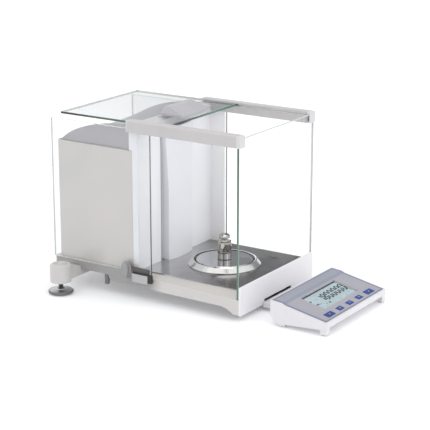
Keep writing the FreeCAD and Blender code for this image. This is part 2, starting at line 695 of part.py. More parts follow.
def console_sheet():
    """Printed sheet that covers the top of the console, folded over the step behind the window."""
    rear, fold_a, fold_b, front = CONSOLE_TOP
    start = fold_a + (rear - fold_a) * 0.86
    end = fold_b + (front - fold_b) * 0.955
    lower = [start, fold_a, fold_b, end]
    lift = V(0, 0, 0.02)
    upper = [p + V(0, 0, SHEET) for p in lower]
    half = CONSOLE_HALF - 3.5
    sheet = prism([p + lift + V(-half, 0, 0) for p in lower + upper[::-1]], V(2 * half, 0, 0))
    return sheet.cut(key_holes() + [window_box(0.2, -4, 3)])


def console_window():
    return window_box(0, -1.6, 0.1)


def lcd_module():
    return facet_box(-WINDOW_HALF - 3, WINDOW_HALF + 3, WINDOW_START + 2, WINDOW_END + 3, -6.6, -2.6)


def console_board():
    board = facet_box(-80, 80, 6, 62, -10.4, -8.8)
    return board.fuse(facet_box(-30, 30, 20, 40, -8.8, -6.9)).removeSplitter()


def console_key(key):
    cap = key_box(key, 0, -1.0, SHEET + 0.9)
    rim = [e for e in cap.Edges if (e.CenterOfMass - facet_point(0, 0, SHEET + 0.9)).dot(FACET_UP) > -0.01]
    cap = cap.makeFillet(0.6, rim)
    x = KEYS[key][0]
    stem = facet_box(x - 2, x + 2, KEY_ROW - 2, KEY_ROW + 2, -7.6, -1.0)
    collar = key_box(key, -1.2, -3.9, -3.0)
    return cap.fuse([stem, collar]).removeSplitter()


def bracket():
    """Flat tongue that joins base and console, with a wider hollow cover between them."""
    tongue = wide_box(TONGUE_HALF, -60, 34, TONGUE_LOW, TONGUE_TOP)
    cover = wide_box(BRACKET_HALF, CONSOLE_REAR + 0.5, -0.4, 5.5, TONGUE_TOP + 1)
    cover = rounded(cover, 2.0, UP, lambda p: True)
    cover = cover.cut(wide_box(BRACKET_HALF - 2, CONSOLE_REAR + 2.5, -2.5, 0, TONGUE_LOW))
    holes = [upright(s * 25, 24, 0, 20, 1.6) for s in (-1, 1)]
    return tongue.fuse(cover).removeSplitter().cut(holes)


# ---- write every piece ----
os.makedirs("parts", exist_ok=True)

save("base_casting", base_casting())
save("left_foot_housing", mirrored(foot_housing()))
save("right_foot_housing", level_boss(foot_housing()))
save("level_vial", level_vial())
save("front_feet", front_foot(-1), front_foot(1))
save("rest_pegs", rest_peg(-1), rest_peg(1))
save("front_panel", front_panel())
save("front_glass", front_glass())
save("left_rail", mirrored(rail()))
save("right_rail", rail())
save("rail_end_caps", front_cap(), mirrored(front_cap()), rear_cap(), mirrored(rear_cap()))
save("cross_beam", cross_beam())
save("left_post_panel", mirrored(post_panel()))
save("right_post_panel", post_panel().fuse(side_return()).removeSplitter())
save("column_cover", column_cover())
save("column_liner", column_liner())
save("floor_plate", floor_plate())
save("left_side_panel", mirrored(side_panel()))
save("right_side_panel", side_panel())
save("rear_panel", rear_panel())
save("top_cover", top_cover())
save("power_inlet", power_inlet())
save("data_port", data_port())
save("case_screws", *[panel_screw(x, z) for x, z in SCREW_SPOTS], bracket_screw(-25), bracket_screw(25))
save("pan_carrier", pan_carrier())
save("weigh_cell", weigh_cell())
save("magnet_pot", magnet_pot())
save("force_lever", force_lever())
save("main_board", main_board())
save("display_bracket", bracket())
save("display_case", console_case())
save("display_bezel", console_bezel())
save("display_sheet", console_sheet())
save("display_window", console_window())
save("display_lcd", lcd_module())
save("display_board", console_board())
save("display_pads", *console_pads())
for name in KEYS:
    save(name, console_key(name))
save("left_door_glass", mirrored(side_glass()))
save("left_door_carriage", mirrored(door_carriage()))
save("left_door_handle", mirrored(door_handle()))
save("left_door_bumper", mirrored(door_bumper()))
save("right_door_glass", side_glass())
save("right_door_carriage", door_carriage())
save("right_door_handle", door_handle())
save("right_door_bumper", door_bumper())
save("top_door_glass", top_glass())
save("top_door_handle", top_handle())
save("weighing_pan", weighing_pan().fuse(pan_socket()).removeSplitter())
save("draft_ring", draft_ring())
save("calibration_weight", calibration_weight())
save("left_foot_pad", foot_pad(-1))
save("right_foot_pad", foot_pad(1))
save("left_foot_screw", foot_screw(-1))
save("right_foot_screw", foot_screw(1))
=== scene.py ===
import json
import math

import bmesh
import bpy
from mathutils import Matrix, Vector


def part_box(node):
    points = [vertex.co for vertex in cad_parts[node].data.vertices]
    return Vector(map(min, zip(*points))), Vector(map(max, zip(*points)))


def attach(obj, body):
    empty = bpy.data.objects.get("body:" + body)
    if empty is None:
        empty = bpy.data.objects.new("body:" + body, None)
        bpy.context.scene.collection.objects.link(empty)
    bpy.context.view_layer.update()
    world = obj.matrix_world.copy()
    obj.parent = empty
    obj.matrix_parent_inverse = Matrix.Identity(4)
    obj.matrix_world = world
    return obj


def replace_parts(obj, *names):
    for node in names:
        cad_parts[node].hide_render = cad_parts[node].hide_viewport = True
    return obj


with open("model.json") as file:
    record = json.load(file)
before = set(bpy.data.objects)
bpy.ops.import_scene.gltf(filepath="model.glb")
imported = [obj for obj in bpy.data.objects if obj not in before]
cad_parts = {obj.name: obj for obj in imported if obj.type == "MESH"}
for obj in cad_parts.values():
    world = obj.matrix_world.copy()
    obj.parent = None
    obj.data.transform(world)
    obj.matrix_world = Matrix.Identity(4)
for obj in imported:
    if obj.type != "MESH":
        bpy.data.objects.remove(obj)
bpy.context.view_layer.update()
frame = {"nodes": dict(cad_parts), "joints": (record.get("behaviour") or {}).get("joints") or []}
NODES = frame["nodes"]
JOINTS = {joint["name"]: joint for joint in frame["joints"]}
MM = 0.001
MICRON = 0.000001


# ---- material helpers ----
class Nodes:
    """Short calls for building one node tree: a material's, or the given world's."""

    def __init__(self, name, world=None):
        self.material = world or bpy.data.materials.new(name)
        self.material.use_nodes = True
        self.tree = self.material.node_tree
        self.shader = self.tree.nodes["Background" if world else "Principled BSDF"]
        self.place = self.new("ShaderNodeTexCoord").outputs["Generated" if world else "Object"]

    def new(self, kind, **settings):
        node = self.tree.nodes.new(kind)
        for key, value in settings.items():
            setattr(node, key, value)
        return node

    def link(self, source, target):
        self.tree.links.new(source, target)

    def set(self, **values):
        """Constants on the main shader's own sockets."""
        for key, value in values.items():
            self.shader.inputs[key.replace("_", " ")].default_value = value

    def stretch(self, factors):
        mapping = self.new("ShaderNodeMapping")
        self.link(self.place, mapping.inputs["Vector"])
        mapping.inputs["Scale"].default_value = factors
        return mapping.outputs["Vector"]

    def noise(self, scale, detail=2.0, rough=0.5, source=None):
        node = self.new("ShaderNodeTexNoise")
        self.link(source or self.place, node.inputs["Vector"])
        node.inputs["Scale"].default_value = scale
        node.inputs["Detail"].default_value = detail
        node.inputs["Roughness"].default_value = rough
        return node.outputs["Fac"]

    def span(self, value, low, high, to_low, to_high):
        node = self.new("ShaderNodeMapRange")
        self.link(value, node.inputs["Value"])
        limits = {"From Min": low, "From Max": high, "To Min": to_low, "To Max": to_high}
        for key, number in limits.items():
            node.inputs[key].default_value = number
        return node.outputs["Result"]

    def math(self, operation, first, second=0.0):
        node = self.new("ShaderNodeMath", operation=operation)
        for socket, value in zip(node.inputs, (first, second)):
            if isinstance(value, (int, float)):
                socket.default_value = value
            else:
                self.link(value, socket)
        return node.outputs[0]

    def mix(self, factor, first, second):
        node = self.new("ShaderNodeMix", data_type="RGBA")
        self.link(factor, node.inputs["Factor"])
        for socket, value in ((node.inputs[6], first), (node.inputs[7], second)):
            if isinstance(value, (tuple, list)):
                socket.default_value = (*value, 1.0)
            else:
                self.link(value, socket)
        return node.outputs[2]

    def near(self, value, middle, reach):
        """1 where value is within reach of middle, 0 elsewhere."""
        offset = self.math("ABSOLUTE", self.math("SUBTRACT", value, middle))
        return self.math("LESS_THAN", offset, reach)

    def past(self, value, limit):
        """1 where value is over limit or under its negative, 0 elsewhere."""
        return self.math("GREATER_THAN", self.math("ABSOLUTE", value), limit)

    def product(self, first, *others):
        for other in others:
            first = self.math("MULTIPLY", first, other)
        return first

    def parts(self):
        node = self.new("ShaderNodeSeparateXYZ")
        self.link(self.place, node.inputs[0])
        return node.outputs

    def colour(self, socket):
        self.link(socket, self.shader.inputs["Base Color"])

    def rough(self, socket):
        self.link(socket, self.shader.inputs["Roughness"])

    def bump(self, *layers):
        """Layers of (height socket, depth in metres), added up."""
        height = None
        for socket, depth in layers:
            scaled = self.math("MULTIPLY", socket, depth)
            height = scaled if height is None else self.math("ADD", height, scaled)
        node = self.new("ShaderNodeBump")
        node.inputs["Strength"].default_value = 1.0
        node.inputs["Distance"].default_value = 1.0
        self.link(height, node.inputs["Height"])
        self.link(node.outputs["Normal"], self.shader.inputs["Normal"])


def shade(colour, factor):
    return tuple(min(1.0, channel * factor) for channel in colour)


def srgb(red, green, blue):
    """Linear colour from the 0 to 255 values of a screen colour."""
    def linear(value):
        value /= 255
        return value / 12.92 if value <= 0.04045 else ((value + 0.055) / 1.055) ** 2.4
    return linear(red), linear(green), linear(blue)


def coated(name, colour, rough=0.42, peel=10 * MICRON, grain=4 * MICRON, spread=0.03, warm=None,
           areas=()):
    """Powder coat or moulded plastic: faint patches, fine orange peel and finer grain.
    areas holds (colour, mask) pairs; each mask turns a Nodes object into a 0 to 1 socket."""
    n = Nodes(name)
    patches = n.span(n.noise(9.0, 3.0), 0.3, 0.7, 0, 1)
    tint = n.mix(patches, shade(colour, 1 - spread), warm or shade(colour, 1 + spread))
    for other, mask in areas:
        tint = n.mix(mask(n), tint, other)
    specks = n.noise(900.0, 2.0)
    darker = n.mix(specks, tint, shade(colour, 0.8))
    n.colour(n.mix(n.span(specks, 0.62, 0.75, 0, 0.25), tint, darker))
    wipe = n.noise(26.0, 4.0, 0.6)
    n.rough(n.span(wipe, 0.25, 0.75, rough - 0.06, rough + 0.07))
    n.bump((n.noise(420.0, 2.0), peel), (n.noise(2200.0, 2.0), grain))
    return n.material


def moulded(name, colour, rough=0.4, **more):
    """Moulded plastic: a coat with an even, finer skin."""
    return coated(name, colour, rough, peel=6 * MICRON, grain=6 * MICRON, **more)


# ---- areas that coated() paints in another colour ----
def true_normal(n):
    split = n.new("ShaderNodeSeparateXYZ")
    n.link(n.new("ShaderNodeNewGeometry").outputs["True Normal"], split.inputs[0])
    return split.outputs


def facing_sideways(n):
    return n.past(true_normal(n)["X"], 0.9)


def ledge_shade(n):
    """Faces that slope up and out along the sides of the base, which take a painted shade."""
    upward, spread = 0.85, 0.13
    inner_edge = 97.6 * MM
    return n.product(n.near(true_normal(n)["Z"], upward, spread),
                     n.past(n.parts()["X"], inner_edge))


def rear_side_shade(n):
    """Upright outer sides, from the open doors back, which take a painted shade."""
    fade_start, fade_end = 35 * MM, 60 * MM
    return n.product(facing_sideways(n), n.span(n.parts()["Y"], fade_start, fade_end, 0.0, 1.0))


def slot_shade(n):
    """Inside of the slot in the front of the base, above the tongue of the bracket, painted dark
    as shade.
    """
    middle_y, middle_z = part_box("front_panel")[0].y + 20 * MM, 12.9 * MM
    half_width, half_depth, half_height = 40.4 * MM, 19.8 * MM, 4.0 * MM
    x, y, z = n.parts()
    return n.product(n.near(x, 0.0, half_width), n.near(z, middle_z, half_height),
                     n.near(y, middle_y, half_depth))


def groove_painted_light(n):
    """Inside of the groove that the top pane runs in, painted paler as light to lift the groove's
    shade.
    """
    mouth, back = 95.5 * MM, 110.8 * MM
    low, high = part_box("left_rail")
    middle_z, half_height = (low.z + high.z) / 2, (high.z - low.z) * 0.42
    x, _, z = n.parts()
    return n.product(n.near(x, 0.0, back), n.near(z, middle_z, half_height), n.past(x, mouth))


def lip_shade(n):
    """Lip of the door carriages that clamps the glass, painted dark as shade."""
    fade_start, fade_end = 44.5 * MM, 45.2 * MM
    return n.span(n.parts()["Z"], fade_start, fade_end, 0.0, 1.0)


# ---- metals ----
def floor_steel():
    """Satin floor plate, darker towards the front and to the right as painted reflection and
    shade, with random patches.
    """
    n = Nodes("floor_steel")
    n.set(Metallic=1.0, Anisotropic=0.4)
    dark, light = (0.155, 0.155, 0.155), (0.60, 0.60, 0.61)
    front, back = -50 * MM, 60 * MM
    left, right = -30 * MM, 100 * MM
    x, y, _ = n.parts()
    lines = n.noise(1.0, 3.0, 0.55, n.stretch((300.0, 8.0, 300.0)))
    # painted reflection and shade: darker towards the front and to the right
    depth = n.product(n.span(y, front, back, 0.0, 1.0), n.span(x, left, right, 1.0, 0.45))
    depth = n.math("ADD", depth, n.span(n.noise(16.0, 2.0, 0.5), 0.35, 0.65, -0.14, 0.14))
    base = n.mix(depth, dark, light)
    n.colour(n.mix(n.span(lines, 0.35, 0.65, 0, 0.12), base, light))
    n.rough(n.span(lines, 0.3, 0.7, 0.2, 0.27))
    n.bump((lines, 0.8 * MICRON))
    return n.material


def brushed(name, colour, rough, along):
    """Metal with fine straight grinding marks; along is the stretch of their pattern."""
    n = Nodes(name)
    n.set(Metallic=1.0, Anisotropic=0.55)
    dark, light = shade(colour, 0.88), shade(colour, 1.12)
    lines = n.noise(1.0, 4.0, 0.65, n.stretch(along))
    broad = n.noise(7.0, 2.0, 0.5)
    streaks = n.math("ADD", n.math("MULTIPLY", lines, 0.7), n.math("MULTIPLY", broad, 0.3))
    streaks = n.span(streaks, 0.3, 0.7, 0, 1)
    n.colour(n.mix(streaks, dark, light))
    n.rough(n.span(lines, 0.3, 0.7, rough - 0.06, rough + 0.08))
    n.bump((lines, 6 * MICRON))
    return n.material


def polished(name, colour, rough):
    """Turned and polished metal with faint wipe marks."""
    n = Nodes(name)
    n.set(Metallic=1.0)
    haze = n.noise(60.0, 4.0, 0.6)
    n.colour(n.mix(n.span(haze, 0.3, 0.7, 0, 1), shade(colour, 0.95), shade(colour, 1.04)))
    n.rough(n.span(haze, 0.3, 0.75, rough * 0.7, rough * 1.7))
    n.bump((n.noise(700.0, 2.0), 1.2 * MICRON))
    return n.material


# ---- glass ----
def see_through(n, tint, haze):
    """Surface that lets the view straight through and mirrors more at a flat angle, the same from
    both sides. The mirror's share stops at a half, so that flat panes don't turn white."""
    least, most = 0.035, 0.5
    n.tree.nodes.remove(n.shader)
    through = n.new("ShaderNodeBsdfTransparent")
    n.link(tint, through.inputs["Color"])
    mirror = n.new("ShaderNodeBsdfGlossy")
    n.link(haze, mirror.inputs["Roughness"])
    facing = n.new("ShaderNodeLayerWeight")
    facing.inputs["Blend"].default_value = 0.5
    rise = n.math("POWER", facing.outputs["Facing"], 5.0)
    both = n.new("ShaderNodeMixShader")
    n.link(n.span(rise, 0.0, 1.0, least, most), both.inputs[0])
    n.link(through.outputs[0], both.inputs[1])
    n.link(mirror.outputs[0], both.inputs[2])
    n.link(both.outputs[0], n.tree.nodes["Material Output"].inputs["Surface"])


def clear_glass():
    """Face of a pane, with a slight tint and faint smears."""
    n = Nodes("glass_face")
    tint = n.mix(n.noise(14.0, 3.0), (0.966, 0.972, 0.972), (0.978, 0.982, 0.981))
    see_through(n, tint, n.span(n.noise(40.0, 3.0), 0.3, 0.7, 0.0, 0.03))
    return n.material


def glass_rim(name, dark, light, rough, axis, start, end):
    """Ground and polished edge of a pane, which carries the green of the glass; it turns from dark
    to light along one axis, from start to end in metres, as painted light and shade."""
    n = Nodes(name)
    n.set(Coat_Weight=0.5, Coat_Roughness=0.08, IOR=1.5)
    drift = n.math("SUBTRACT", n.noise(14.0, 2.0, 0.4), 0.5)
    along = n.span(n.parts()[axis], start, end, 0.0, 1.0)
    marks = n.noise(260.0, 2.0)
    base = n.mix(n.math("ADD", along, n.math("MULTIPLY", drift, 0.8)), dark, light)
    n.colour(n.mix(n.span(marks, 0.6, 0.8, 0, 0.3), base, shade(light, 1.2)))
    n.rough(n.span(marks, 0.3, 0.7, rough - 0.05, rough + 0.1))
    n.bump((marks, 8 * MICRON))
    return n.material


# ---- console and boards ----
def printed_film():
    """Matt printed sheet on the console: grey field with two bands beyond the display, a blue-grey
    border and fine print grain."""
    n = Nodes("printed_film")
    low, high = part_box("display_sheet")
    window_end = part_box("display_window")[1].y
    band_start, band_end = window_end + 2.6 * MM, window_end + 8.0 * MM
    border_side, border_near, border_far = 4.2 * MM, 2.4 * MM, 3.0 * MM
    x, y, _ = n.parts()
    field = n.mix(n.noise(16.0, 3.0), srgb(158, 157, 166), srgb(172, 171, 179))
    field = n.mix(n.math("GREATER_THAN", y, band_start), field, srgb(142, 148, 164))
    field = n.mix(n.math("GREATER_THAN", y, band_end), field, srgb(154, 157, 169))
    dots = n.noise(1600.0, 1.0)
    field = n.mix(n.span(dots, 0.55, 0.75, 0, 0.3), field, srgb(150, 150, 160))
    side = n.past(x, high.x - border_side)
    near = n.math("LESS_THAN", y, low.y + border_near)
    far = n.math("GREATER_THAN", y, high.y - border_far)
    border = n.math("MINIMUM", n.math("ADD", n.math("ADD", side, near), far), 1.0)
    n.colour(n.mix(border, field, srgb(122, 130, 152)))
    n.set(Coat_Weight=0.25, Coat_Roughness=0.3)
    n.rough(n.span(n.noise(60.0, 3.0), 0.3, 0.7, 0.38, 0.5))
    n.bump((n.noise(2400.0, 1.0), 4 * MICRON))
    return n.material


def lcd_glass():
    """Reflective display: pale grey-green with a faint pixel grid."""
    n = Nodes("lcd_face")
    cell = n.new("ShaderNodeTexBrick", offset=0.0)
    n.link(n.place, cell.inputs["Vector"])
    cell.inputs["Scale"].default_value = 700.0
    cell.inputs["Mortar Size"].default_value = 0.03
    cell.inputs["Color1"].default_value = (*srgb(212, 226, 232), 1)
    cell.inputs["Color2"].default_value = (*srgb(216, 229, 234), 1)
    cell.inputs["Mortar"].default_value = (*srgb(198, 213, 220), 1)
    glow = n.mix(n.noise(22.0, 2.0), srgb(208, 223, 230), srgb(220, 230, 232))
    n.colour(n.mix(n.span(n.noise(5.0), 0, 1, 0.4, 0.6), cell.outputs["Color"], glow))
    n.rough(n.span(n.noise(90.0, 2.0), 0.3, 0.7, 0.18, 0.3))
    n.set(Coat_Weight=0.4, Coat_Roughness=0.05)
    return n.material


def ink(name, colour, rough=0.45):
    n = Nodes(name)
    n.colour(n.mix(n.noise(800.0, 2.0), shade(colour, 0.85), shade(colour, 1.2)))
    n.rough(n.span(n.noise(300.0), 0.3, 0.7, rough - 0.08, rough + 0.08))
    return n.material


def window_film():
    """Thin clear window over the display."""
    n = Nodes("window_film")
    tint = n.mix(n.noise(30.0), (0.93, 0.95, 0.95), (0.96, 0.98, 0.98))
    see_through(n, tint, n.span(n.noise(70.0, 3.0), 0.3, 0.7, 0.05, 0.12))
    return n.material


def circuit_green():
    n = Nodes("circuit_green")
    track = n.new("ShaderNodeTexBrick")
    n.link(n.place, track.inputs["Vector"])
    track.inputs["Scale"].default_value = 160.0
    track.inputs["Color1"].default_value = (0.02, 0.16, 0.07, 1)
    track.inputs["Color2"].default_value = (0.03, 0.2, 0.09, 1)
    track.inputs["Mortar"].default_value = (0.08, 0.3, 0.14, 1)
    n.colour(track.outputs["Color"])
    n.rough(n.span(n.noise(300.0), 0.3, 0.7, 0.25, 0.4))
    n.bump((track.outputs["Fac"], 20 * MICRON))
    return n.material


# ---- the materials ----
# painted shade: near-black for the inside of the slot in the front of the base
SLOT_SHADE = srgb(46, 46, 48)
POST_WHITE = srgb(237, 237, 241)
CONSOLE_WHITE = srgb(221, 219, 222)
FINE_GRIND = (260.0, 260.0, 260.0)

PAINT_BASE = coated("base_coat", srgb(203, 200, 198), areas=(
    # painted shade: the base's outer sides turn darker from the doors back
    (srgb(154, 153, 153), rear_side_shade),
    # painted shade: the sloping ledge is darker than the rest of the base
    (srgb(192, 189, 185), ledge_shade),
    (SLOT_SHADE, slot_shade)))
PAINT_WHITE = coated("white_coat", srgb(230, 229, 233), 0.36, areas=((SLOT_SHADE, slot_shade),))
PAINT_CAP = coated("rail_cap_coat", srgb(206, 206, 207), 0.38)
# painted light: the inside of the rail's groove is near white to lift its shade
PAINT_RAIL = coated("rail_coat", srgb(189, 187, 188), 0.38, warm=srgb(194, 191, 191),
                    areas=((srgb(246, 246, 246), groove_painted_light),))
PAINT_HOUSING = coated("housing_coat", srgb(208, 206, 203), 0.45, warm=srgb(214, 208, 205))
PAINT_POST = coated("post_coat", POST_WHITE, 0.4)
# painted light: the right post's sideways faces are paler than its front faces
PAINT_RETURN = coated("right_post_coat", POST_WHITE, 0.4,
                      areas=((srgb(246, 246, 245), facing_sideways),))
PAINT_GREY = coated("grey_coat", srgb(190, 192, 197), 0.4)
PLASTIC_WHITE = moulded("white_shell", srgb(197, 194, 193), 0.38)
PLASTIC_COLUMN = moulded("column_shell", srgb(232, 232, 237), 0.36)
PLASTIC_COVER = coated("cover_shell", srgb(178, 176, 181), 0.46, 8 * MICRON, 10 * MICRON)
PLASTIC_CONSOLE = moulded("console_shell", CONSOLE_WHITE, 0.38)
# painted shade: the lip of the carriages above the ledge is dark
CARRIAGE = moulded("carriage_shell", srgb(176, 176, 177), areas=((srgb(84, 82, 80), lip_shade),))
PLASTIC_HANDLE = moulded("handle_shell", srgb(178, 177, 182), 0.36)
PLASTIC_KNOB = moulded("knob_shell", srgb(148, 148, 150), 0.36)
PLASTIC_PEG = moulded("peg_shell", srgb(116, 116, 118))
PLASTIC_BRACKET = moulded("bracket_shell", CONSOLE_WHITE, 0.38, areas=((SLOT_SHADE, slot_shade),))
PLASTIC_BLACK = moulded("black_shell", srgb(38, 38, 40))
RUBBER = coated("foot_rubber", srgb(52, 52, 53), 0.75, 20 * MICRON, 10 * MICRON)
KEY_BLUE = moulded("key_cap", srgb(46, 68, 134), 0.36, spread=0.06)
KEY_FRAME = moulded("key_frame", srgb(176, 182, 206))
FLOOR_STEEL = floor_steel()
PAN_STEEL = polished("pan_steel", (0.60, 0.61, 0.64), 0.035)
RING_STEEL = polished("ring_steel", (0.72, 0.71, 0.70), 0.12)
WEIGHT_STEEL = polished("weight_steel", (0.44, 0.425, 0.40), 0.04)
PLATED = polished("plated_steel", (0.66, 0.66, 0.67), 0.2)
ZINC = brushed("zinc_steel", (0.52, 0.52, 0.525), 0.3, FINE_GRIND)
# painted shade: darker zinc for the foot disc's rim and the ring round the stem
ZINC_SHADE = brushed("zinc_painted_shade", (0.20, 0.20, 0.205), 0.34, FINE_GRIND)
ALUMINIUM = brushed("machined_aluminium", (0.66, 0.66, 0.68), 0.32, (260.0, 12.0, 260.0))
IRON = brushed("soft_iron", (0.24, 0.24, 0.25), 0.42, (90.0, 90.0, 400.0))
VIAL = coated("vial_fluid", srgb(206, 214, 120), 0.12, 0.0, 0.0)
CIRCUIT = circuit_green()
FILM = printed_film()
LCD = lcd_glass()
INK = ink("display_ink", srgb(16, 22, 34))
WINDOW = window_film()
GLASS = clear_glass()
# the green of the rims is the glass's own; their turns from dark to light and the pale rims are
# painted light and shade
RIM_GREEN = glass_rim("glass_rim_green", (0.025, 0.065, 0.045), (0.08, 0.17, 0.12), 0.2,
                      "Z", 0.28, 0.1)
RIM_TOP_FRONT = glass_rim("glass_rim_top_front", (0.006, 0.008, 0.006), (0.07, 0.19, 0.13), 0.16,
                          "X", -0.05, 0.05)
RIM_TOP_SIDE = glass_rim("glass_rim_top_side", (0.12, 0.20, 0.16), (0.012, 0.02, 0.016), 0.16,
                         "Y", 0.0, 0.24)
RIM_SMOKE = glass_rim("glass_rim_smoke", (0.07, 0.08, 0.08), (0.16, 0.18, 0.17), 0.2,
                      "Z", 0.05, 0.27)
RIM_PALE = glass_rim("glass_rim_pale", (0.62, 0.64, 0.63), (0.78, 0.80, 0.79), 0.25,
                     "Y", -0.2, 0.2)

FINISHES = {
    "base_casting": PAINT_BASE,
    "left_foot_housing": PLASTIC_WHITE, "right_foot_housing": PLASTIC_WHITE, "level_vial": VIAL,
    "front_feet": RUBBER, "rest_pegs": PLASTIC_PEG, "front_panel": PAINT_WHITE,
    "left_rail": PAINT_RAIL, "right_rail": PAINT_RAIL, "rail_end_caps": PAINT_CAP,
    "cross_beam": PAINT_WHITE, "left_post_panel": PAINT_POST, "right_post_panel": PAINT_RETURN,
    "column_cover": PLASTIC_COLUMN, "column_liner": PAINT_GREY, "floor_plate": FLOOR_STEEL,
    "left_side_panel": PAINT_HOUSING, "right_side_panel": PAINT_HOUSING,
    "rear_panel": PAINT_HOUSING,
    "top_cover": PLASTIC_COVER, "power_inlet": PLASTIC_BLACK, "data_port": PLATED,
    "case_screws": PLATED, "pan_carrier": ALUMINIUM, "weigh_cell": ALUMINIUM, "magnet_pot": IRON,
    "force_lever": ALUMINIUM, "main_board": CIRCUIT, "display_bracket": PLASTIC_BRACKET,
    "display_case": PLASTIC_CONSOLE, "display_bezel": PLASTIC_CONSOLE, "display_sheet": FILM,
    "display_window": WINDOW, "display_lcd": LCD, "display_board": CIRCUIT, "display_pads": RUBBER,
    "left_door_carriage": CARRIAGE, "right_door_carriage": CARRIAGE,
    "left_door_handle": PLASTIC_KNOB, "right_door_handle": PLASTIC_KNOB,
    "left_door_bumper": RUBBER, "right_door_bumper": RUBBER,
    "top_door_handle": PLASTIC_HANDLE, "weighing_pan": PAN_STEEL, "draft_ring": RING_STEEL,
    "calibration_weight": WEIGHT_STEEL, "left_foot_pad": RUBBER, "right_foot_pad": RUBBER,
    "left_foot_screw": ZINC, "right_foot_screw": ZINC,
    "key_power": KEY_BLUE, "key_mode": KEY_BLUE, "key_calibrate": KEY_BLUE, "key_print": KEY_BLUE,
    "key_tare": KEY_BLUE,
}
for node, finish in FINISHES.items():
    mesh = NODES[node].data
    mesh.materials.clear()
    mesh.materials.append(finish)


# ---- mesh helpers ----
def piece(name, mesh, body, slot, *materials):
    """A new object for mesh that rides on body, with the given materials; slot is not used."""
    item = bpy.data.objects.new(name, mesh)
    bpy.context.scene.collection.objects.link(item)
    for material in materials:
        mesh.materials.append(material)
    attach(item, body)
    return item


def mesh_of(name, work):
    mesh = bpy.data.meshes.new(name)
    work.to_mesh(mesh)
    work.free()
    return mesh


def add_box(work, low, high):
    """Adds a box between two corners."""
    middle = (Vector(low) + Vector(high)) / 2
    size = Vector(high) - Vector(low)
    matrix = Matrix.Translation(middle) @ Matrix.Diagonal((*size, 1))
    bmesh.ops.create_cube(work, size=1, matrix=matrix)


def turn_outward(work):
    bmesh.ops.recalc_face_normals(work, faces=work.faces[:])


# ---- glass panes ----
SIDES = {"left": Vector((-1, 0, 0)), "right": Vector((1, 0, 0)), "front": Vector((0, -1, 0)),
         "rear": Vector((0, 1, 0)), "top": Vector((0, 0, 1)), "bottom": Vector((0, 0, -1))}


def pane(node, body, thin, rims):
    """Pane with ground corners; thin is the axis across it, and rims says which edge material each
    side has."""
    ground, flat, facing = 0.45 * MM, 0.99, 0.6
    work = bmesh.new()
    add_box(work, *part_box(node))
    bmesh.ops.bevel(work, geom=work.edges[:], offset=ground, segments=2, profile=0.6,
                    affect="EDGES")
    across = Vector([1.0 if axis == thin else 0.0 for axis in "xyz"])
    order = [GLASS, RIM_PALE, *dict.fromkeys(rims.values())]
    for face in work.faces:
        if abs(face.normal.dot(across)) > flat:
            face.material_index = order.index(GLASS)
            continue
        face.material_index = order.index(RIM_PALE)
        for side, material in rims.items():
            if face.normal.dot(SIDES[side]) > facing:
                face.material_index = order.index(material)
    mesh = mesh_of(node + "_pane", work)
    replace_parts(piece(node + "_pane", mesh, body, "glass", *order), node)


pane("front_glass", "frame", "y", {"left": RIM_GREEN})
pane("left_door_glass", "left_door", "x", {"front": RIM_SMOKE})
pane("right_door_glass", "right_door", "x", {"front": RIM_SMOKE})
pane("top_door_glass", "top_door", "z", {"front": RIM_TOP_FRONT, "left": RIM_TOP_SIDE})


# ---- levelling feet ----
def revolve(work, centre, profile, steps, wave=None):
    """Turned solid around an upright axis; wave gives the radius change at (step, ring)."""
    rings = []
    for ring, (radius, height) in enumerate(profile):
        row = []
        for i in range(steps):
            reach = radius + (wave(i, ring) if wave else 0.0)
            angle = 2 * math.pi * i / steps
            x, y = centre.x + reach * math.cos(angle), centre.y + reach * math.sin(angle)
            row.append(work.verts.new((x, y, height)))
        rings.append(row)
    for below, above in zip(rings, rings[1:]):
        for i in range(steps):
            j = (i + 1) % steps
            work.faces.new((below[i], below[j], above[j], above[i]))
    work.faces.new(rings[0][::-1])
    work.faces.new(rings[-1])


